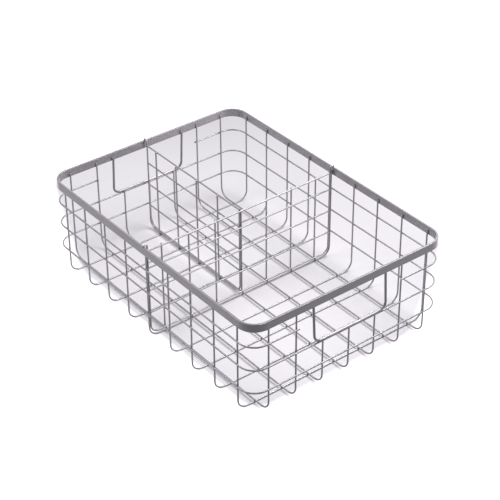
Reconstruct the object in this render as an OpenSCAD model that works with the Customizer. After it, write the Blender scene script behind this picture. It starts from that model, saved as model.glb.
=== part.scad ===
// Wire locker basket with two lift-out dividers.
// X runs along the length, Y across the width, Z up. The origin is on the floor under the middle.
// The front is the +X end, the left side is -Y.

/* [Basket] */
// Length over the rim band
basket_l = 457; // [380:1:560]
// Width over the rim band
basket_w = 328; // [280:1:400]
// Height from the surface to the top of the rim band
basket_h = 149.5; // [125:0.5:200]

/* [Wire] */
// Diameter of the hoop, ring and divider wire
wire_d = 2.4; // [2:0.1:3]
// Diameter of the handle rod
handle_d = 3.4; // [3:0.1:5]

/* [Rim band] */
// Height of the flat bar
rim_h = 12; // [9:0.5:18]
// Thickness of the flat bar
rim_t = 3; // [2:0.1:4]
// Radius that the flat bar's long edges are rolled to
rim_edge = 0.4; // [0.2:0.05:0.8]
// Radius of the rim's corners, at the middle of the bar
rim_bend = 25; // [18:0.5:32]
// How far the hoop legs reach up the inside of the rim
leg_lap = 6; // [4:0.5:8]

/* [Hoops] */
// From the middle of the end wires to the nearest side hoop
side_hoop_inset = 28.25; // [26:0.25:34]
// From the middle of the side wires to the nearest end hoop
end_hoop_inset = 27; // [26:0.25:34]
// Radius of the bend between floor and wall, at the middle of the wire
hoop_bend = 15; // [10:0.5:20]

/* [Rings] */
// Height of the lower ring
ring_lower_z = 40.9; // [30:0.1:50]
// Space between the upper ring and the rim band, from wire middle to band edge
ring_upper_drop = 24.1; // [18:0.1:30]
// Radius of the rings' corners, at the middle of the wire
ring_bend = 24; // [18:0.5:25]
// How far the ends of the upper ring pass the hoops that carry them
ring_overhang = 3; // [2:0.5:8]

/* [Handles] */
// Width of a handle, between the middles of its legs
handle_w = 121; // [105:1:135]
// Radius of the handle's lower corners, at the middle of the rod
handle_bend = 10.5; // [8:0.5:16]
// How far the handle legs reach up the inside of the rim
handle_lap = 5; // [4:0.5:8]
// How far below the rim band the leaning handle legs still clear its underside
handle_clear = 3; // [2:0.5:6]

/* [Dividers] */
// From the top of the rim down to the cross divider's top wire
cross_top_drop = 9; // [6:0.1:20]
// From the top of the rim down to the long divider's top wire
long_top_drop = 7.3; // [6:0.1:20]
// Radius of the divider frames' lower corners, at the middle of the wire
frame_bend = 12; // [11:0.5:16]
// Radius of the hooks that go over the rim, at the middle of the wire
hook_bend = 3; // [2.5:0.1:3.5]

/* [Fits] */
// Space between a divider and everything it can be lifted away from
divider_gap = 0.3; // [0.3:0.1:1]
// Space left at a welded crossing
weld_gap = 0.05; // [0.02:0.01:0.1]

/* [Hidden] */
SIDE_HOOPS = 9;
END_HOOPS = 7;
LONG_UPRIGHTS = 4;
ROWS = 3;
$fn = 64;

wire_r = wire_d / 2;
handle_r = handle_d / 2;
// From the middle of one wire to the middle of the next, where two are welded or where a divider stands free
welded_step = wire_d + weld_gap;
free_step = wire_d + divider_gap;

// The walls: where the upright legs of the hoops stand
rim_in_x = basket_l / 2 - rim_t;
rim_in_y = basket_w / 2 - rim_t;
leg_x = rim_in_x - weld_gap - wire_r;
leg_y = rim_in_y - weld_gap - wire_r;
rim_low = basket_h - rim_h;
leg_top = rim_low + leg_lap;

// The floor: side hoops lie on the surface, end hoops on the side hoops
side_floor_z = wire_r;
end_floor_z = side_floor_z + welded_step;

side_pitch = 2 * (leg_x - side_hoop_inset) / (SIDE_HOOPS - 1);
end_pitch = 2 * (leg_y - end_hoop_inset) / (END_HOOPS - 1);
side_hoop_x = [for (i = [1 : SIDE_HOOPS]) (i - (SIDE_HOOPS + 1) / 2) * side_pitch];
end_hoop_y = [for (i = [1 : END_HOOPS]) (i - (END_HOOPS + 1) / 2) * end_pitch];

// The rings lie outside the legs
ring_x = leg_x + welded_step;
ring_y = leg_y + welded_step;
ring_upper_z = rim_low - ring_upper_drop;
ring_middle_z = (ring_lower_z + ring_upper_z) / 2;
// The upper ring stops just past the first hoop beside the handle
ring_stop_y = min([for (y = end_hoop_y) if (abs(y) > handle_w / 2) abs(y)]) - ring_overhang;

// The handle's bottom bar lies outside the short legs and on top of the middle ring
bar_x = leg_x + wire_r + weld_gap + handle_r;
bar_rest = wire_r + weld_gap + handle_r;
bar_z = ring_middle_z + sqrt(pow(bar_rest, 2) - pow(ring_x - bar_x, 2));
// The handle leans in from the bar, so that its legs pass inside the rim band
lean_rise = rim_low - handle_clear - bar_z;
handle_lean = atan((bar_x - (rim_in_x - weld_gap - handle_r)) / lean_rise);
handle_leg = (rim_low + handle_lap - bar_z) / cos(handle_lean);

// The cross divider stands over the middle side hoop, its frame legs just inside that hoop's legs
cross_leg_y = leg_y - free_step;
cross_floor_z = end_floor_z + free_step;
cross_top_z = basket_h - cross_top_drop;
cross_upright_x = -welded_step;
// The long divider stands beside the middle end hoop, and its front leg in the corner between the cross
// divider's middle upright and its rows
long_y = -free_step;
long_upright_y = long_y - welded_step;
long_back_x = -(leg_x - free_step);
long_front_x = -free_step;
long_floor_z = side_floor_z + free_step;
long_top_z = basket_h - long_top_drop;
hook_z = basket_h + divider_gap + wire_r;
row_z = [ring_lower_z, ring_middle_z, ring_upper_z];

function numbered(name, count) = [for (i = [1 : count]) str(name, i)];

// Points and bends of a bar's middle line
function corner(path, i) = path[(i + len(path)) % len(path)];
function heading(a, b) = atan2(b[1] - a[1], b[0] - a[0]);
function within_half_turn(angle) = angle > 180 ? angle - 360 : angle <= -180 ? angle + 360 : angle;
function turn_at(path, i) =
    within_half_turn(heading(corner(path, i), corner(path, i + 1)) - heading(corner(path, i - 1), corner(path, i)));
function setback(path, bends, i) = bends[i] == 0 ? 0 : bends[i] * tan(abs(turn_at(path, i)) / 2);

// A bar bent in the XY plane. path holds its corners, bends the radius at each corner, and the child is its section.
module bent_bar(path, bends, closed = false) {
    count = len(path);
    for (i = [0 : count - (closed ? 1 : 2)]) {
        a = path[i];
        b = corner(path, i + 1);
        turned = heading(a, b);
        start = setback(path, bends, i);
        straight = norm(b - a) - start - setback(path, bends, (i + 1) % count);
        translate([a[0] + start * cos(turned), a[1] + start * sin(turned), 0])
            rotate([90, 0, turned + 90])
                linear_extrude(straight)
                    children();
    }
    for (i = [0 : count - 1]) {
        if (bends[i] > 0) {
            turn = turn_at(path, i);
            side = sign(turn);
            coming = heading(corner(path, i - 1), path[i]);
            start = setback(path, bends, i);
            centre_x = path[i][0] - start * cos(coming) - side * bends[i] * sin(coming);
            centre_y = path[i][1] - start * sin(coming) + side * bends[i] * cos(coming);
            translate([centre_x, centre_y, 0])
                rotate([0, 0, side > 0 ? coming - 90 : coming + 90 + turn])
                    rotate_extrude(angle = abs(turn))
                        translate([bends[i], 0])
                            children();
        }
    }
}

// The same bar with a round section
module bent_rod(path, bends, d, closed = false) {
    bent_bar(path, bends, closed)
        circle(d = d);
}

// Stands a flat drawing up, facing along X or along Y
module facing_x(x) {
    translate([x, 0, 0])
        rotate([90, 0, 90])
            children();
}

module facing_y(y) {
    translate([0, y, 0])
        rotate([90, 0, 0])
            children();
}

// A U of wire with its legs at -half and half, its floor at low and its leg tops at high
module hoop(half, low, high, bend) {
    bent_rod([[-half, high], [-half, low], [half, low], [half, high]], [0, bend, bend, 0], wire_d);
}

// A straight wire between two points of a flat drawing
module straight_wire(from, to) {
    bent_rod([from, to], [0, 0], wire_d);
}

// Section of flat bar with rolled edges
module flat_bar(t, h, edge) {
    square([t - 2 * edge, h], center = true);
    square([t, h - 2 * edge], center = true);
    for (x = [edge - t / 2, t / 2 - edge]) {
        for (y = [edge - h / 2, h / 2 - edge]) {
            translate([x, y])
                circle(r = edge);
        }
    }
}

module rim_band() {
    color([0.55, 0.54, 0.57])
        translate([0, 0, rim_low + rim_h / 2])
            bent_bar(ring_corners(rim_in_x + rim_t / 2, rim_in_y + rim_t / 2), [for (i = [1 : 4]) rim_bend], true)
                flat_bar(rim_t, rim_h, rim_edge);
}

function ring_corners(x, y) = [[-x, -y], [x, -y], [x, y], [-x, y]];

module side_hoop(i) {
    color([0.6, 0.59, 0.62])
        facing_x(side_hoop_x[i - 1])
            hoop(leg_y, side_floor_z, leg_top, hoop_bend);
}

// Hoops that would stand in a handle opening stop behind the handle's bottom bar
module end_hoop(i) {
    under_handle = abs(end_hoop_y[i - 1]) < handle_w / 2;
    color([0.6, 0.59, 0.62])
        facing_y(end_hoop_y[i - 1])
            hoop(leg_x, end_floor_z, under_handle ? bar_z : leg_top, hoop_bend);
}

module ring(z) {
    color([0.58, 0.57, 0.6])
        translate([0, 0, z])
            bent_rod(ring_corners(ring_x, ring_y), [for (i = [1 : 4]) ring_bend], wire_d, true);
}

// One half of the upper ring, on the left (-1) or on the right (1)
module upper_ring_half(side) {
    stop = side * ring_stop_y;
    far = side * ring_y;
    color([0.58, 0.57, 0.6])
        translate([0, 0, ring_upper_z])
            bent_rod([[-ring_x, stop], [-ring_x, far], [ring_x, far], [ring_x, stop]], [0, ring_bend, ring_bend, 0],
                wire_d);
}

// The front handle. The back one mirrors it.
module handle() {
    half = handle_w / 2;
    color([0.45, 0.44, 0.47])
        translate([bar_x, 0, bar_z])
            rotate([0, -handle_lean, 0])
                facing_x(0)
                    bent_rod([[-half, handle_leg], [-half, 0], [half, 0], [half, handle_leg]],
                        [0, handle_bend, handle_bend, 0], handle_d);
}

// The cross divider's frame ends in a hook over each side of the rim
module cross_frame() {
    tip = basket_w / 2;
    color([0.62, 0.61, 0.64])
        facing_x(0)
            bent_rod([
                [-tip, hook_z],
                [-cross_leg_y, hook_z],
                [-cross_leg_y, cross_floor_z],
                [cross_leg_y, cross_floor_z],
                [cross_leg_y, hook_z],
                [tip, hook_z]
            ], [0, hook_bend, frame_bend, frame_bend, hook_bend, 0], wire_d);
}

module cross_wire(z) {
    half = cross_leg_y - wire_r - weld_gap;
    color([0.62, 0.61, 0.64])
        facing_x(0)
            straight_wire([-half, z], [half, z]);
}

module cross_upright(i) {
    y = end_hoop_y[i - 1];
    color([0.62, 0.61, 0.64])
        facing_x(cross_upright_x)
            straight_wire([y, cross_floor_z - wire_r], [y, cross_top_z + wire_r]);
}

// The long divider's frame hooks over the back of the rim only
module long_frame() {
    color([0.62, 0.61, 0.64])
        facing_y(long_y)
            bent_rod([
                [-basket_l / 2, hook_z],
                [long_back_x, hook_z],
                [long_back_x, long_floor_z],
                [long_front_x, long_floor_z],
                [long_front_x, long_top_z + wire_r]
            ], [0, hook_bend, frame_bend, frame_bend, 0], wire_d);
}

module long_wire(z) {
    clear = wire_r + weld_gap;
    color([0.62, 0.61, 0.64])
        facing_y(long_y)
            straight_wire([long_back_x + clear, z], [long_front_x - clear, z]);
}

module long_upright(i) {
    x = side_hoop_x[i - 1];
    color([0.62, 0.61, 0.64])
        facing_y(long_upright_y)
            straight_wire([x, long_floor_z - wire_r], [x, long_top_z + wire_r]);
}

rim_band();
for (i = [1 : SIDE_HOOPS]) {
    side_hoop(i);
}
for (i = [1 : END_HOOPS]) {
    end_hoop(i);
}
ring(ring_lower_z);  // ring_lower
ring(ring_middle_z);  // ring_middle
upper_ring_half(-1);  // ring_upper_left
upper_ring_half(1);  // ring_upper_right
handle();  // handle_front
mirror([1, 0, 0]) handle();  // handle_back
cross_frame();
cross_wire(cross_top_z);  // cross_top_wire
for (i = [1 : ROWS]) {
    cross_wire(row_z[i - 1]);
}
for (i = [1 : END_HOOPS]) {
    cross_upright(i);
}
long_frame();
long_wire(long_top_z);  // long_top_wire
for (i = [1 : ROWS]) {
    long_wire(row_z[i - 1]);
}
for (i = [1 : LONG_UPRIGHTS]) {
    long_upright(i);
}
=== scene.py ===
"""Looks of a wire locker basket with two lift-out dividers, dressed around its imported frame."""
import math
import random

import bmesh
import bpy
from bpy.props import FloatProperty, FloatVectorProperty, IntProperty, PointerProperty
from mathutils import Matrix, Vector
from mathutils.geometry import convex_hull_2d


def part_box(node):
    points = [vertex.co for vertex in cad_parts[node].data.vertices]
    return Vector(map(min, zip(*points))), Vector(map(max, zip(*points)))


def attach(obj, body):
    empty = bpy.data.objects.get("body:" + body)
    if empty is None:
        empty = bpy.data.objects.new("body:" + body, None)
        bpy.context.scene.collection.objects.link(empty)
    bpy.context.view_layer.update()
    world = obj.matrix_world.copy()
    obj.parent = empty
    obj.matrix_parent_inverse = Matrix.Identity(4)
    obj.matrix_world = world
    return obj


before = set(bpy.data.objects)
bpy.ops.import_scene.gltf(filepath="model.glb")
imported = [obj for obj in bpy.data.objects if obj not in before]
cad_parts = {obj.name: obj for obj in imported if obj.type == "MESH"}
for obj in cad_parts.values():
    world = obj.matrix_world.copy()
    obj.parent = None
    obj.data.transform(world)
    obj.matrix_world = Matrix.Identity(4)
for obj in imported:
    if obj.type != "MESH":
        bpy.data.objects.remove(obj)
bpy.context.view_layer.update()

bl_info = {
    "name": "Wire locker basket",
    "version": (1, 0, 0),
    "blender": (4, 5, 0),
    "location": "3D View > Sidebar > Basket",
    "description": "Powder-coated wire basket with lift-out dividers, its welds, wire ends and studio",
    "category": "Object",
}

X = Vector((1, 0, 0))
Y = Vector((0, 1, 0))
Z = Vector((0, 0, 1))


# Names and sizes from the frame, in metres

def numbered(name, count):
    return [f"{name}_{i + 1}" for i in range(count)]


def middle(node):
    low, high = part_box(node)
    return (low + high) / 2


BASKET = "basket"
CROSS = "cross_divider"
LONG = "long_divider"

SIDE_HOOPS = numbered("side_hoop", 9)
END_HOOPS = numbered("end_hoop", 7)
RINGS = ["ring_lower", "ring_middle"]
UPPER_RINGS = ["ring_upper_left", "ring_upper_right"]
HANDLES = ["handle_front", "handle_back"]
CROSS_ROWS = ["cross_top_wire"] + numbered("cross_row", 3)
CROSS_UPRIGHTS = numbered("cross_upright", 7)
LONG_ROWS = ["long_top_wire"] + numbered("long_row", 3)
LONG_UPRIGHTS = numbered("long_upright", 4)

WIRE = (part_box("side_hoop_1")[1].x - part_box("side_hoop_1")[0].x) / 2
LEG_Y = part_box("side_hoop_1")[1].y - WIRE
LEG_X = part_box("end_hoop_1")[1].x - WIRE
LEG_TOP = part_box("side_hoop_1")[1].z
RIM_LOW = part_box("rim_band")[0].z
RING_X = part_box("ring_lower")[1].x - WIRE
RING_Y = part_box("ring_lower")[1].y - WIRE
SIDE_FLOOR_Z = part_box("side_hoop_1")[0].z + WIRE
END_FLOOR_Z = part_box("end_hoop_1")[0].z + WIRE


# Settings

class CoatSettings(bpy.types.PropertyGroup):
    """Colours and finish of the powder coat"""
    wire: FloatVectorProperty(
        name="Wire", description="Coat on the hoops and rings", default=(0.165, 0.152, 0.172),
        subtype="COLOR", size=3)
    rim: FloatVectorProperty(
        name="Rim", description="Coat on the rim band", default=(0.152, 0.138, 0.158),
        subtype="COLOR", size=3)
    handle: FloatVectorProperty(
        name="Handles", description="Coat on the handle rods", default=(0.105, 0.096, 0.110),
        subtype="COLOR", size=3)
    divider: FloatVectorProperty(
        name="Dividers", description="Coat on the divider wires", default=(0.165, 0.152, 0.172),
        subtype="COLOR", size=3)
    # Painted shade: the dark steel colour laid on the rim's upper edges
    shaded_edge_colour: FloatVectorProperty(
        name="Bare steel", description="Dull steel where the rim's edges are worn",
        default=(0.070, 0.067, 0.073), subtype="COLOR", size=3)
    roughness: FloatProperty(
        name="Roughness", description="Roughness of the smoothest coat", default=0.21, min=0, max=1,
        subtype="FACTOR")
    # Painted shade on the welds, where the wires cross
    weld_painted_shade: FloatProperty(
        name="Weld shade", description="How much darker the coat is on welds", default=0.25, min=0, max=1,
        subtype="FACTOR")
    weld_roughness: FloatProperty(
        name="Weld roughness", description="How much rougher the coat is on welds and wire ends",
        default=0.06, min=0, max=1, subtype="FACTOR")
    gloss: FloatProperty(
        name="Gloss", description="Refractive index of the coat's clear surface", default=1.8, min=1, max=2.5)
    mottle: FloatProperty(
        name="Mottle", description="How far the coat's tone drifts over a wire", default=0.10, min=0, max=0.5,
        subtype="FACTOR")
    # Strength of the painted shade on the rim's upper edges
    edge_shade_strength: FloatProperty(
        name="Wear", description="How far the coat is worn off the rim's edges", default=0.7, min=0, max=1,
        subtype="FACTOR")
    # Strength of the painted sheen that makes the handle bars paler
    handle_sheen: FloatProperty(
        name="Grip", description="How far hands have rubbed the handle bars pale", default=0.9, min=0, max=1,
        subtype="FACTOR")
    peel: FloatProperty(
        name="Orange peel", description="Height of the coat's fine waviness", default=0.00003,
        min=0, max=0.0005, unit="LENGTH")


class WeldSettings(bpy.types.PropertyGroup):
    """Sizes of the weld beads and wire ends"""
    spread: FloatProperty(
        name="Spread", description="Half width of the weld at a crossing", default=0.00115, unit="LENGTH")
    depth: FloatProperty(
        name="Depth", description="Half depth of the weld at a crossing", default=0.0007, unit="LENGTH")
    end_height: FloatProperty(
        name="End height", description="How far the coat rounds out a cut wire end", default=0.00035,
        unit="LENGTH")
    seed: IntProperty(name="Seed", description="Changes how the weld beads differ", default=7)


class StudioSettings(bpy.types.PropertyGroup):
    """Camera, lamps and floor"""
    azimuth: FloatProperty(
        name="Azimuth", description="Camera's angle round the basket", default=math.radians(52.187),
        subtype="ANGLE")
    elevation: FloatProperty(
        name="Elevation", description="Camera's angle above the floor", default=math.radians(34.224),
        subtype="ANGLE")
    roll: FloatProperty(
        name="Roll", description="Camera's roll", default=math.radians(-0.408), subtype="ANGLE")
    distance: FloatProperty(
        name="Distance", description="Camera to the point it looks at", default=2.1839, unit="LENGTH")
    aim: FloatVectorProperty(
        name="Aim", description="Point the camera looks at", default=(-0.0205, 0.0292, 0.0526),
        subtype="TRANSLATION", size=3)
    lens: FloatProperty(name="Lens", description="Focal length in millimetres", default=111.44)
    floor: FloatVectorProperty(
        name="Floor", description="Colour of the floor that the basket mirrors",
        default=(0.80, 0.79, 0.81), subtype="COLOR", size=3)
    # Painted shade on the floor's front, which the coat mirrors as a dark reflection
    floor_front_shade: FloatVectorProperty(
        name="Front floor", description="Colour of the floor that the front of the basket mirrors",
        default=(0.56, 0.555, 0.565), subtype="COLOR", size=3)
    # Painted shade on the floor as the camera sees it under and behind the basket, darker on the far side
    shown_near: FloatVectorProperty(
        name="Shown near floor", description="Colour that the camera sees under the basket's near side",
        default=(0.352, 0.341, 0.360), subtype="COLOR", size=3)
    shown_far: FloatVectorProperty(
        name="Shown far floor", description="Colour that the camera sees beyond the basket's far side",
        default=(0.292, 0.283, 0.298), subtype="COLOR", size=3)
    floor_lift: FloatVectorProperty(
        name="Floor lift", description="Light that keeps the shadows on the floor pale",
        default=(0.205, 0.198, 0.209), subtype="COLOR", size=3)
    # Where the painted shade on the floor reaches
    shade_reach: FloatVectorProperty(
        name="Shade reach", description="How far the floor's shade is carried behind the basket",
        default=(-0.169, 0.130, 0), subtype="TRANSLATION", size=3)
    shade_spread: FloatProperty(
        name="Shade spread", description="Width of the shade behind the basket, over the rim's width",
        default=1.12)
    shade_inset: FloatProperty(
        name="Shade inset", description="How far inside the basket's legs the floor starts to turn white",
        default=0.018, unit="LENGTH")
    glow_width: FloatProperty(
        name="Glow width", description="Distance over which the floor turns white around the basket",
        default=0.016, unit="LENGTH")
    floor_size: FloatProperty(name="Floor size", description="Width of the floor", default=8.0, unit="LENGTH")
    right_lamp: FloatVectorProperty(
        name="Right lamp", description="Place of the softbox above the right", default=(0.3, 0.38, 0.9),
        subtype="TRANSLATION", size=3)
    right_power: FloatProperty(
        name="Right power", description="Power of the softbox above the right", default=8.5, unit="POWER")
    left_lamp: FloatVectorProperty(
        name="Left lamp", description="Place of the softbox above the left", default=(-0.3, -0.38, 0.9),
        subtype="TRANSLATION", size=3)
    left_power: FloatProperty(
        name="Left power", description="Power of the softbox above the left", default=6.5, unit="POWER")
    back_lamp: FloatVectorProperty(
        name="Back lamp", description="Place of the softbox above the far side", default=(0, 0.6, 0.9),
        subtype="TRANSLATION", size=3)
    back_power: FloatProperty(
        name="Back power", description="Power of the softbox above the far side", default=13.5, unit="POWER")
    side_lamp: FloatVectorProperty(
        name="Side lamp", description="Place of the low softbox at the left", default=(0, -1.8, 0.6),
        subtype="TRANSLATION", size=3)
    side_power: FloatProperty(
        name="Side power", description="Power of the low softbox at the left", default=2.0, unit="POWER")
    overhead_width: FloatProperty(
        name="Overhead width", description="Width of the softboxes above the basket", default=0.5,
        unit="LENGTH")
    side_width: FloatProperty(
        name="Side width", description="Width of the low softbox", default=1.0, unit="LENGTH")
    lamp_aim: FloatVectorProperty(
        name="Lamp aim", description="Point that the softboxes face", default=(0, 0, 0.05),
        subtype="TRANSLATION", size=3)
    fill: FloatProperty(
        name="Fill", description="Strength of the soft light all round", default=0.02, min=0, max=1)


# Shader maths

class Socket:
    """A number in a shader. Sums on it add Math nodes."""

    def __init__(self, shader, link):
        self.shader = shader
        self.link = link

    def maths(self, operation, first, second):
        return self.shader.node("ShaderNodeMath", {"operation": operation}, {0: first, 1: second})

    def __add__(self, other):
        return self.maths("ADD", self, other)

    def __radd__(self, other):
        return self.maths("ADD", other, self)

    def __sub__(self, other):
        return self.maths("SUBTRACT", self, other)

    def __rsub__(self, other):
        return self.maths("SUBTRACT", other, self)

    def __mul__(self, other):
        return self.maths("MULTIPLY", self, other)

    def __rmul__(self, other):
        return self.maths("MULTIPLY", other, self)


class Shader:
    """The nodes of a material or a world, made by one method."""

    def __init__(self, owner):
        self.owner = owner
        owner.use_nodes = True
        self.tree = owner.node_tree
        self.tree.nodes.clear()

    def node(self, kind, settings=None, values=None, output=0):
        made = self.tree.nodes.new(kind)
        for key, value in (settings or {}).items():
            setattr(made, key, value)
        for key, value in (values or {}).items():
            if isinstance(value, Socket):
                self.tree.links.new(value.link, made.inputs[key])
            else:
                made.inputs[key].default_value = value
        return Socket(self, made.outputs[output]) if made.outputs else None

    def mixed(self, factor, first, second):
        """A colour between two, by a factor."""
        return self.node("ShaderNodeMix", {"data_type": "RGBA"}, {0: factor, 6: first, 7: second}, 2)

    def ramped(self, value, low, high):
        """0 below low and 1 above high, smooth between."""
        return self.node("ShaderNodeMapRange", {"interpolation_type": "SMOOTHSTEP"},
                         {"Value": value, "From Min": low, "From Max": high})

    def noise(self, place, scale, detail):
        return self.node("ShaderNodeTexNoise", None, {"Vector": place, "Scale": scale, "Detail": detail})

    def finish(self, surface, output="ShaderNodeOutputMaterial"):
        self.node(output, None, {"Surface": surface})
        return self.owner


WHITE = (1.0, 1.0, 1.0, 1.0)


def opaque(colour):
    return list(colour) + [1.0]


def tinted(colour, factor):
    """A colour made lighter or darker, with its alpha."""
    return opaque([min(1.0, c * factor) for c in colour])


# The coat. Scales are in noise waves per metre, details in octaves. A mask turns over the range of a pair.

DRIFT_SCALE = 23.0
DRIFT_DETAIL = 3.0
DRIFT_ROUGHNESS = 0.08
GRAIN_SCALE = 650.0
GRAIN_DETAIL = 2.0
GRAIN_LEVELS = (0.58, 0.72)
GRAIN_TINT = 1.15
PEEL_SCALE = 1100.0
PEEL_DETAIL = 1.0
PEEL_STRENGTH = 0.25
# Painted sheen on the handle bars: how much paler, and how much rougher, they turn
SHEEN_TINT = 3.2
SHEEN_ROUGHNESS = 0.05
SHADED_EDGE_ROUGHNESS = 0.15
LEAST_PATCH = 0.6
EDGE_FACING = (0.25, 0.6)
TOP_FACING = (0.96, 0.995)
RIM_PATCH_SCALE = 60.0
RIM_PATCH_DETAIL = 4.0
RIM_PATCH_LEVELS = (0.42, 0.62)
SHEEN_ENDS = (0.04, 0.052)
SHEEN_PATCH_SCALE = 90.0
SHEEN_PATCH_DETAIL = 3.0
SHEEN_PATCH_LEVELS = (0.35, 0.6)


def powder_coat(name, colour, extra_roughness=0.0, darkened=None, brightened=None):
    """Satin powder coat with a slow drift of tone and fine orange peel.

    The fourth argument gives the mask of painted shade in dark steel, the fifth that of a painted sheen, a
    paler, duller coat."""
    coat = bpy.context.scene.basket_coat
    shader = Shader(bpy.data.materials.new(name))
    place = shader.node("ShaderNodeTexCoord", output="Object")
    drift = shader.noise(place, DRIFT_SCALE, DRIFT_DETAIL)
    grain = shader.noise(place, GRAIN_SCALE, GRAIN_DETAIL)
    peel = shader.noise(place, PEEL_SCALE, PEEL_DETAIL)
    base = shader.mixed(drift, tinted(colour, 1 - coat.mottle), tinted(colour, 1 + coat.mottle))
    base = shader.mixed(shader.ramped(grain, *GRAIN_LEVELS), base, tinted(colour, GRAIN_TINT))
    rough = coat.roughness + extra_roughness + DRIFT_ROUGHNESS * drift
    metal = 0.0
    # Painted sheen: the handle bars turn paler
    if brightened:
        mask = brightened(shader, place) * coat.handle_sheen
        base = shader.mixed(mask, base, tinted(colour, SHEEN_TINT))
        rough = rough + SHEEN_ROUGHNESS * mask
    # Painted shade: the rim's upper edges turn to dark steel, which dims their highlight
    if darkened:
        metal = darkened(shader, place) * coat.edge_shade_strength
        base = shader.mixed(metal, base, opaque(coat.shaded_edge_colour))
        rough = rough + SHADED_EDGE_ROUGHNESS * metal
    bump = shader.node("ShaderNodeBump", None, {
        "Strength": PEEL_STRENGTH,
        "Distance": coat.peel,
        "Height": peel,
    })
    surface = shader.node("ShaderNodeBsdfPrincipled", None, {
        "Base Color": base,
        "Roughness": rough,
        "Metallic": metal,
        "IOR": coat.gloss,
        "Normal": bump,
    })
    return shader.finish(surface)


def shaded_weld_coat(name, colour):
    """The coat over a weld, rougher than on the wire and darker with painted shade in the crevice where the
    wires meet.
    """
    coat = bpy.context.scene.basket_coat
    return powder_coat(name, [c * (1 - coat.weld_painted_shade) for c in colour], coat.weld_roughness)


def patches(shader, place, scale, detail, levels):
    """Uneven patches of painted shade or sheen, from a least level to 1."""
    return LEAST_PATCH + (1 - LEAST_PATCH) * shader.ramped(shader.noise(place, scale, detail), *levels)


def shaded_rim_edge(shader, place):
    """The rounded upper edges of the rim, in patches: painted shade of dark steel that dims their highlight.
    """
    facing = shader.node("ShaderNodeNewGeometry", output="Normal")
    upward = shader.node("ShaderNodeSeparateXYZ", None, {0: facing}, "Z")
    edges = shader.ramped(upward, *EDGE_FACING) * (1 - shader.ramped(upward, *TOP_FACING))
    return edges * patches(shader, place, RIM_PATCH_SCALE, RIM_PATCH_DETAIL, RIM_PATCH_LEVELS)


def painted_bar_sheen(shader, place):
    """The bar of each handle, paler with a painted sheen."""
    across = shader.node("ShaderNodeSeparateXYZ", None, {0: place}, "Y")
    away = shader.node("ShaderNodeMath", {"operation": "ABSOLUTE"}, {0: across})
    bar = 1 - shader.ramped(away, *SHEEN_ENDS)
    return bar * patches(shader, place, SHEEN_PATCH_SCALE, SHEEN_PATCH_DETAIL, SHEEN_PATCH_LEVELS)


def dress(nodes, material):
    for name in nodes:
        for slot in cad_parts[name].material_slots:
            slot.material = material


# Welds and wire ends. Bead sizes are half sizes, in metres or as a share of the lap between two pieces.

BEAD_LUCK = (0.88, 1.1)
BEAD_LEAN = 0.12
BEAD_SUBDIVISIONS = 3
RIPPLE = 0.06
RIPPLE_X = 5
RIPPLE_Y = 4
RIPPLE_TURN = 9
DOME_RINGS = 4
DOME_SIDES = 20
RIM_BEAD_WIDTH = 0.0016
RIM_BEAD_SHARE = 0.425
RIM_BEAD_DEPTH = 0.0006
BAR_BEAD = (0.0024, 0.0011, 0.0006)
HANDLE_BEAD_WIDTH = 0.0019
HANDLE_BEAD_SHARE = 0.42
HANDLE_BEAD_DEPTH = 0.0008
HANDLE_BEAD_GAP = 0.0002
ROW_END_SPREAD = 1.08
ROW_END_DEPTH = 0.0006

# How near its lowest and its highest point a handle's bar and its legs' ends are looked for
HANDLE_BAR_HEIGHT = 0.004
HANDLE_END_HEIGHT = 0.006


def settled(mesh_maker, name, body, material):
    """Turns a bmesh into a smooth piece that rides on a body."""
    mesh = bpy.data.meshes.new(name)
    mesh_maker.to_mesh(mesh)
    mesh_maker.free()
    mesh.materials.append(material)
    mesh.shade_smooth()
    piece = bpy.data.objects.new(name, mesh)
    bpy.context.scene.collection.objects.link(piece)
    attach(piece, body)


def turned_to(along, across):
    """The turn that takes Z to along and X to about across."""
    z = along.normalized()
    y = z.cross(across).normalized()
    return Matrix((y.cross(z), y, z)).transposed().to_4x4()


def add_bead(beads, centre, along, across, size, luck):
    """One weld bead: a rounded lump, pressed between two wires and never quite the same twice."""
    lump = bmesh.ops.create_icosphere(beads, subdivisions=BEAD_SUBDIVISIONS, radius=1.0)["verts"]
    sizes = Vector([s * luck.uniform(*BEAD_LUCK) for s in size])
    lean = Vector([luck.uniform(-BEAD_LEAN, BEAD_LEAN) for _ in range(3)])
    place = Matrix.Translation(centre) @ turned_to(along, across)
    for vertex in lump:
        way = vertex.co.copy()
        wave = math.sin(RIPPLE_X * way.x + RIPPLE_TURN * lean.x)
        wave *= math.cos(RIPPLE_Y * way.y + RIPPLE_TURN * lean.y)
        vertex.co = place @ Vector([c * s * (1 + RIPPLE * wave) for c, s in zip(way, sizes)])


def add_dome(domes, centre, along, height):
    """The rounded coat on a cut wire end that points up or sideways."""
    place = Matrix.Translation(centre) @ turned_to(along, X)
    rows = []
    for ring in range(DOME_RINGS):
        angle = math.pi / 2 * ring / DOME_RINGS
        row = []
        for side in range(DOME_SIDES):
            around = math.tau * side / DOME_SIDES
            spot = Vector((WIRE * math.cos(angle) * math.cos(around),
                           WIRE * math.cos(angle) * math.sin(around),
                           height * math.sin(angle)))
            row.append(domes.verts.new(place @ spot))
        rows.append(row)
    top = domes.verts.new(place @ Vector((0, 0, height)))
    for low, high in zip(rows, rows[1:]):
        for side in range(DOME_SIDES):
            after = (side + 1) % DOME_SIDES
            domes.faces.new((low[side], low[after], high[after], high[side]))
    for side in range(DOME_SIDES):
        domes.faces.new((rows[-1][side], rows[-1][(side + 1) % DOME_SIDES], top))
    domes.faces.new(list(reversed(rows[0])))


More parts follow.
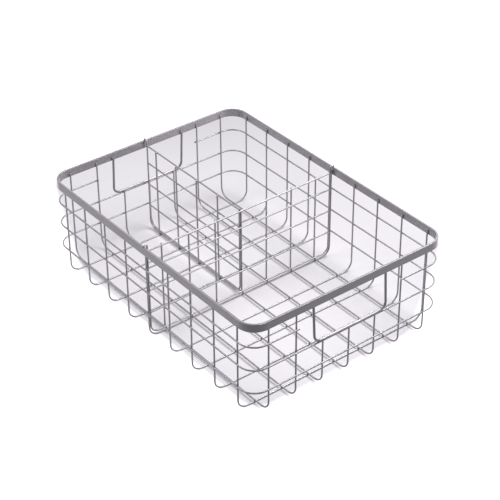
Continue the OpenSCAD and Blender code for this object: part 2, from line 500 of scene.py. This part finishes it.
def crossing(beads, first, second, along, luck):
    """A weld where two wires cross: first and second are the nearest points of their middles."""
    weld = bpy.context.scene.basket_weld
    add_bead(beads, (first + second) / 2, second - first, along, (weld.spread, weld.spread, weld.depth), luck)


def luck_for(name):
    return random.Random(f"{bpy.context.scene.basket_weld.seed} {name}")


def hoop_x(name):
    return middle(name).x


def hoop_y(name):
    return middle(name).y


def tall(hoop):
    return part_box(hoop)[1].z > RIM_LOW


def ring_stop():
    """How far the upper ring's ends stand from the middle of the short ends."""
    return min(abs(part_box(UPPER_RINGS[0])[1].y), abs(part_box(UPPER_RINGS[1])[0].y))


def add_floor_welds(beads, luck):
    for side_hoop in SIDE_HOOPS:
        for end_hoop in END_HOOPS:
            x = hoop_x(side_hoop)
            y = hoop_y(end_hoop)
            crossing(beads, Vector((x, y, SIDE_FLOOR_Z)), Vector((x, y, END_FLOOR_Z)), X, luck)


def add_ring_welds(beads, luck):
    upper_side = dict(zip(UPPER_RINGS, (-1, 1)))
    for ring in RINGS + UPPER_RINGS:
        z = middle(ring).z
        for side in (-1, 1):
            if upper_side.get(ring, side) == side:
                for hoop in SIDE_HOOPS:
                    x = hoop_x(hoop)
                    crossing(beads, Vector((x, side * LEG_Y, z)), Vector((x, side * RING_Y, z)), X, luck)
        for hoop in END_HOOPS:
            y = hoop_y(hoop)
            reached = ring in RINGS or y * upper_side[ring] > ring_stop()
            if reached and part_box(hoop)[1].z > z + WIRE:
                for end in (-1, 1):
                    crossing(beads, Vector((end * LEG_X, y, z)), Vector((end * RING_X, y, z)), Y, luck)


def add_rim_welds(beads, luck):
    """Long beads where each leg lies against the inside of the rim band."""
    z = (RIM_LOW + LEG_TOP) / 2
    size = (RIM_BEAD_WIDTH, (LEG_TOP - RIM_LOW) * RIM_BEAD_SHARE, RIM_BEAD_DEPTH)
    for hoop in SIDE_HOOPS:
        for side in (-1, 1):
            spot = Vector((hoop_x(hoop), side * (LEG_Y + WIRE), z))
            add_bead(beads, spot, side * Y, X, size, luck)
    for hoop in filter(tall, END_HOOPS):
        for end in (-1, 1):
            spot = Vector((end * (LEG_X + WIRE), hoop_y(hoop), z))
            add_bead(beads, spot, end * X, Y, size, luck)


def handle_facts(name):
    """The bar's middle and the legs' distance from the middle, for one handle."""
    low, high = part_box(name)
    end = 1 if name == HANDLES[0] else -1
    points = [v.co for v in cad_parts[name].data.vertices]
    heights = [p.z for p in points if p.z < low.z + HANDLE_BAR_HEIGHT]
    rod = (max(heights) - min(heights)) / 2
    outer = max(end * p.x for p in points)
    return Vector((end * (outer - rod), 0, low.z + rod)), high.y - rod


def add_handle_welds(beads, luck):
    """Beads where each handle's bar meets the ring and the hoops, and its legs meet the rim band."""
    for name in HANDLES:
        bar, leg_y = handle_facts(name)
        end = 1 if bar.x > 0 else -1
        ring = Vector((end * RING_X, 0, middle("ring_middle").z))
        for hoop in END_HOOPS:
            y = hoop_y(hoop)
            if abs(y) < leg_y:
                at = Vector((0, y, 0))
                add_bead(beads, (bar + ring) / 2 + at, bar - ring, Y, BAR_BEAD, luck)
                hoop_top = Vector((end * LEG_X, 0, bar.z)) - Z * WIRE
                crossing(beads, hoop_top + at, bar + at, Y, luck)
        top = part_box(name)[1].z
        size = (HANDLE_BEAD_WIDTH, (top - RIM_LOW) * HANDLE_BEAD_SHARE, HANDLE_BEAD_DEPTH)
        for side in (-1, 1):
            near = [v.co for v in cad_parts[name].data.vertices
                    if v.co.z > top - HANDLE_END_HEIGHT and side * v.co.y > 0]
            face_x = max(end * p.x for p in near)
            spot = Vector((end * (face_x + HANDLE_BEAD_GAP), side * leg_y, (RIM_LOW + top) / 2))
            add_bead(beads, spot, end * X, Y, size, luck)


def add_divider_welds(beads, luck, rows, uprights, frame_wire, along):
    """Welds of one divider, whose rows run along Y or X: uprights over rows, and rows butted to its legs."""
    heights = [middle(row).z for row in rows] + [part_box(frame_wire)[0].z + WIRE]
    plane = middle(rows[0])
    for z in heights:
        for upright in uprights:
            first = middle(upright)
            first.z = z
            second = Vector((plane.x, first.y, z)) if along == Y else Vector((first.x, plane.y, z))
            crossing(beads, first, second, along, luck)
    size = (WIRE * ROW_END_SPREAD, WIRE * ROW_END_SPREAD, ROW_END_DEPTH)
    for row in rows:
        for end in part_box(row):
            spot = middle(row)
            if along == Y:
                spot.y = end.y
            else:
                spot.x = end.x
            add_bead(beads, spot, along, Z, size, luck)


def add_hoop_ends(domes):
    height = bpy.context.scene.basket_weld.end_height
    for hoop in SIDE_HOOPS:
        for side in (-1, 1):
            add_dome(domes, Vector((hoop_x(hoop), side * LEG_Y, LEG_TOP)), Z, height)
    for hoop in filter(tall, END_HOOPS):
        for end in (-1, 1):
            add_dome(domes, Vector((end * LEG_X, hoop_y(hoop), LEG_TOP)), Z, height)
    for ring, side in zip(UPPER_RINGS, (-1, 1)):
        z = middle(ring).z
        for end in (-1, 1):
            add_dome(domes, Vector((end * RING_X, side * ring_stop(), z)), -side * Y, height)


def add_upright_ends(domes, uprights):
    height = bpy.context.scene.basket_weld.end_height
    for name in uprights:
        spot = middle(name)
        spot.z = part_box(name)[1].z
        add_dome(domes, spot, Z, height)


class BASKET_OT_rim(bpy.types.Operator):
    """Coat the rim band, with painted shade of dark steel along its upper edges"""
    bl_idname = "basket.rim"
    bl_label = "Rim band"

    def execute(self, context):
        coat = context.scene.basket_coat
        dress(["rim_band"], powder_coat("rim_paint", coat.rim, darkened=shaded_rim_edge))
        return {"FINISHED"}


class BASKET_OT_wires(bpy.types.Operator):
    """Coat the hoops and rings"""
    bl_idname = "basket.wires"
    bl_label = "Hoops and rings"

    def execute(self, context):
        coat = context.scene.basket_coat
        dress(SIDE_HOOPS + END_HOOPS + RINGS + UPPER_RINGS, powder_coat("wire_paint", coat.wire))
        return {"FINISHED"}


class BASKET_OT_handles(bpy.types.Operator):
    """Coat the handles, with a painted sheen that makes their bars paler"""
    bl_idname = "basket.handles"
    bl_label = "Handles"

    def execute(self, context):
        coat = context.scene.basket_coat
        dress(HANDLES, powder_coat("handle_paint", coat.handle, brightened=painted_bar_sheen))
        return {"FINISHED"}


class BASKET_OT_dividers(bpy.types.Operator):
    """Coat both dividers"""
    bl_idname = "basket.dividers"
    bl_label = "Dividers"

    def execute(self, context):
        coat = context.scene.basket_coat
        nodes = ["cross_frame", "long_frame"] + CROSS_ROWS + CROSS_UPRIGHTS + LONG_ROWS + LONG_UPRIGHTS
        dress(nodes, powder_coat("divider_paint", coat.divider))
        return {"FINISHED"}


class BASKET_OT_welds(bpy.types.Operator):
    """Add the weld beads where the basket's wires, handles and rim band meet"""
    bl_idname = "basket.welds"
    bl_label = "Basket welds"

    def execute(self, context):
        coat = context.scene.basket_coat
        material = shaded_weld_coat("weld_paint", coat.wire)
        for name, maker in (("floor_welds", add_floor_welds), ("ring_welds", add_ring_welds),
                            ("rim_welds", add_rim_welds), ("handle_welds", add_handle_welds)):
            beads = bmesh.new()
            maker(beads, luck_for(name))
            settled(beads, name, BASKET, material)
        return {"FINISHED"}


class BASKET_OT_divider_welds(bpy.types.Operator):
    """Add the weld beads of both dividers"""
    bl_idname = "basket.divider_welds"
    bl_label = "Divider welds"

    def execute(self, context):
        coat = context.scene.basket_coat
        material = shaded_weld_coat("divider_weld_paint", coat.divider)
        for name, body, rows, uprights, frame_wire, along in (
                ("cross_divider_welds", CROSS, CROSS_ROWS, CROSS_UPRIGHTS, "cross_frame", Y),
                ("long_divider_welds", LONG, LONG_ROWS, LONG_UPRIGHTS, "long_frame", X)):
            beads = bmesh.new()
            add_divider_welds(beads, luck_for(name), rows, uprights, frame_wire, along)
            settled(beads, name, body, material)
        return {"FINISHED"}


class BASKET_OT_ends(bpy.types.Operator):
    """Round the cut ends of the wires"""
    bl_idname = "basket.ends"
    bl_label = "Wire ends"

    def execute(self, context):
        coat = context.scene.basket_coat
        material = powder_coat("end_paint", coat.wire, coat.weld_roughness)
        domes = bmesh.new()
        add_hoop_ends(domes)
        settled(domes, "hoop_ends", BASKET, material)
        for name, body, uprights in (("cross_upright_ends", CROSS, CROSS_UPRIGHTS),
                                     ("long_upright_ends", LONG, LONG_UPRIGHTS)):
            domes = bmesh.new()
            add_upright_ends(domes, uprights)
            settled(domes, name, body, material)
        return {"FINISHED"}


# Studio. Lengths are in metres, apart from the camera's sensor.

SENSOR_MILLIMETRES = 36.0
FARTHEST_SEEN = 50.0
LEG_CORNER = 0.022
CORNER_STEPS = 6
FRONT_FLOOR_TURN = (0.05, 0.30)
FAR_FLOOR_TURN = (0.0, 0.30)


def add_lamp(name, place, width, power):
    """A square softbox that faces the basket."""
    aim = bpy.context.scene.basket_studio.lamp_aim
    lamp = bpy.data.lights.new(name, "AREA")
    lamp.shape = "SQUARE"
    lamp.size = width
    lamp.energy = power
    holder = bpy.data.objects.new(name, lamp)
    bpy.context.scene.collection.objects.link(holder)
    holder.location = place
    holder.rotation_euler = (Vector(aim) - Vector(place)).to_track_quat("-Z", "Y").to_euler()


def rounded_corners(half_x, half_y, radius):
    """Points round a rectangle with rounded corners."""
    points = []
    for corner, (side_x, side_y) in enumerate(((1, 1), (-1, 1), (-1, -1), (1, -1))):
        for step in range(CORNER_STEPS + 1):
            angle = math.pi / 2 * (corner + step / CORNER_STEPS)
            points.append(Vector((side_x * (half_x - radius) + radius * math.cos(angle),
                                  side_y * (half_y - radius) + radius * math.sin(angle))))
    return points


def shade_outline(studio):
    """The outline of the painted shade on the floor: under the basket, and behind it as far as its walls
    reach.
    """
    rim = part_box("rim_band")[1]
    corner = rim.x - LEG_X + LEG_CORNER
    under = rounded_corners(LEG_X - studio.shade_inset, LEG_Y - studio.shade_inset, corner)
    behind = []
    for point in rounded_corners(rim.x, rim.y, corner):
        behind.append(point * studio.shade_spread + Vector(studio.shade_reach).xy)
    points = under + behind
    return [points[i] for i in convex_hull_2d(points)]


def make_floor(studio):
    """A round floor in three rings, with a painted shade of the basket inside the first."""
    outline = shade_outline(studio)
    centre = sum(outline, Vector((0, 0))) / len(outline)
    floor = bmesh.new()
    shade = floor.verts.layers.float.new("shade")
    shaded = outline
    glowing = [p + (p - centre).normalized() * studio.glow_width for p in outline]
    edge = [centre + (p - centre).normalized() * studio.floor_size / 2 for p in outline]
    rings = []
    for points, shown in ((shaded, 1.0), (glowing, 0.0), (edge, 0.0)):
        ring = []
        for point in points:
            vertex = floor.verts.new((point.x, point.y, 0))
            vertex[shade] = shown
            ring.append(vertex)
        rings.append(ring)
    floor.faces.new(rings[0])
    count = len(outline)
    for inner, outer in zip(rings, rings[1:]):
        for i in range(count):
            after = (i + 1) % count
            floor.faces.new((inner[i], outer[i], outer[after], inner[after]))
    bmesh.ops.recalc_face_normals(floor, faces=floor.faces)
    mesh = bpy.data.meshes.new("floor")
    floor.to_mesh(mesh)
    floor.free()
    mesh.materials.append(studio_floor_material(studio))
    piece = bpy.data.objects.new("floor", mesh)
    bpy.context.scene.collection.objects.link(piece)


def seen(shader):
    """1 for what the camera sees, directly or through clear parts, and 0 otherwise."""
    directly = shader.node("ShaderNodeLightPath", output="Is Camera Ray")
    through = shader.node("ShaderNodeLightPath", output="Is Transmission Ray")
    return directly + through


def matt_floor(shader, colour, glow=WHITE, strength=0.0):
    return shader.node("ShaderNodeBsdfPrincipled", None, {
        "Base Color": colour,
        "Roughness": 1.0,
        "Specular IOR Level": 0.0,
        "Emission Color": glow,
        "Emission Strength": strength,
    })


def studio_floor_material(studio):
    """A pale floor, darker at the front with a painted shade, which the coat's gloss shows as it is lit.

    To the camera it is white away from the basket, has a painted shade under and behind it that is darker
    towards the far side, and keeps the basket's shadows."""
    shader = Shader(bpy.data.materials.new("studio_floor"))
    place = shader.node("ShaderNodeTexCoord", output="Object")
    along = shader.node("ShaderNodeSeparateXYZ", None, {0: place}, "X")
    # Painted shade: the floor turns darker towards the front, and the coat's gloss mirrors it
    front = shader.ramped(along, *FRONT_FLOOR_TURN)
    unseen = matt_floor(shader, shader.mixed(front, opaque(studio.floor), opaque(studio.floor_front_shade)))
    across = shader.node("ShaderNodeSeparateXYZ", None, {0: place}, "Y")
    far = shader.ramped(across, *FAR_FLOOR_TURN)
    toned = shader.mixed(far, opaque(studio.shown_near), opaque(studio.shown_far))
    # Painted shade: inside the outline the floor loses its white glow
    shade = shader.node("ShaderNodeAttribute", {"attribute_name": "shade"}, output="Fac")
    shown = matt_floor(shader, toned, shader.mixed(shade, WHITE, opaque(studio.floor_lift)), 1.0)
    return shader.finish(shader.node("ShaderNodeMixShader", None, {0: seen(shader), 1: unseen, 2: shown}))


def white_world(studio):
    """Soft light all round, white to the camera and in the coat's gloss."""
    shader = Shader(bpy.data.worlds.new("studio"))
    soft = shader.node("ShaderNodeBackground", None, {"Color": WHITE, "Strength": studio.fill})
    white = shader.node("ShaderNodeBackground", None, {"Color": WHITE, "Strength": 1.0})
    mirrored = shader.node("ShaderNodeLightPath", output="Is Glossy Ray")
    mix = shader.node("ShaderNodeMixShader", None, {0: seen(shader) + mirrored, 1: soft, 2: white})
    bpy.context.scene.world = shader.finish(mix, "ShaderNodeOutputWorld")


class BASKET_OT_camera(bpy.types.Operator):
    """Set the camera to the photograph's viewpoint"""
    bl_idname = "basket.camera"
    bl_label = "Camera"

    def execute(self, context):
        studio = context.scene.basket_studio
        azimuth = studio.azimuth
        elevation = studio.elevation
        back = Vector((math.sin(azimuth) * math.cos(elevation),
                       -math.cos(azimuth) * math.cos(elevation),
                       math.sin(elevation)))
        right = Vector((math.cos(azimuth), math.sin(azimuth), 0))
        up = back.cross(right)
        rolled_right = right * math.cos(studio.roll) + up * math.sin(studio.roll)
        rolled_up = up * math.cos(studio.roll) - right * math.sin(studio.roll)
        data = bpy.data.cameras.new("camera")
        data.sensor_width = SENSOR_MILLIMETRES
        data.lens = studio.lens
        data.clip_end = FARTHEST_SEEN
        camera = bpy.data.objects.new("camera", data)
        context.scene.collection.objects.link(camera)
        place = Vector(studio.aim) + back * studio.distance
        turn = Matrix((rolled_right, rolled_up, back)).transposed().to_4x4()
        camera.matrix_world = Matrix.Translation(place) @ turn
        context.scene.camera = camera
        return {"FINISHED"}


class BASKET_OT_stage(bpy.types.Operator):
    """Add the floor, the lamps and the white surroundings"""
    bl_idname = "basket.stage"
    bl_label = "Stage"

    def execute(self, context):
        scene = context.scene
        studio = scene.basket_studio
        scene.view_settings.view_transform = "Standard"
        make_floor(studio)
        add_lamp("overhead_right", studio.right_lamp, studio.overhead_width, studio.right_power)
        add_lamp("overhead_left", studio.left_lamp, studio.overhead_width, studio.left_power)
        add_lamp("overhead_back", studio.back_lamp, studio.overhead_width, studio.back_power)
        add_lamp("left", studio.side_lamp, studio.side_width, studio.side_power)
        white_world(studio)
        return {"FINISHED"}


class BASKET_PT_panel(bpy.types.Panel):
    """The basket's settings and the operators that make its pieces"""
    bl_label = "Wire basket"
    bl_idname = "BASKET_PT_panel"
    bl_space_type = "VIEW_3D"
    bl_region_type = "UI"
    bl_category = "Basket"

    def draw(self, context):
        scene = context.scene
        for settings in (scene.basket_coat, scene.basket_weld, scene.basket_studio):
            box = self.layout.box()
            for name in settings.__annotations__:
                box.prop(settings, name)
        for operator in OPERATORS:
            self.layout.operator(operator.bl_idname)


SETTINGS = {"basket_coat": CoatSettings, "basket_weld": WeldSettings, "basket_studio": StudioSettings}
OPERATORS = (BASKET_OT_camera, BASKET_OT_rim, BASKET_OT_wires, BASKET_OT_handles, BASKET_OT_dividers,
             BASKET_OT_welds, BASKET_OT_divider_welds, BASKET_OT_ends, BASKET_OT_stage)
CLASSES = tuple(SETTINGS.values()) + OPERATORS + (BASKET_PT_panel,)


def register():
    for cls in CLASSES:
        bpy.utils.register_class(cls)
    for name, cls in SETTINGS.items():
        setattr(bpy.types.Scene, name, PointerProperty(type=cls))


def unregister():
    for name in SETTINGS:
        delattr(bpy.types.Scene, name)
    for cls in reversed(CLASSES):
        bpy.utils.unregister_class(cls)


def main():
    register()
    bpy.ops.basket.camera()
    bpy.ops.basket.rim()
    bpy.ops.basket.wires()
    bpy.ops.basket.handles()
    bpy.ops.basket.dividers()
    bpy.ops.basket.welds()
    bpy.ops.basket.divider_welds()
    bpy.ops.basket.ends()
    bpy.ops.basket.stage()


if __name__ == "__main__":
    main()
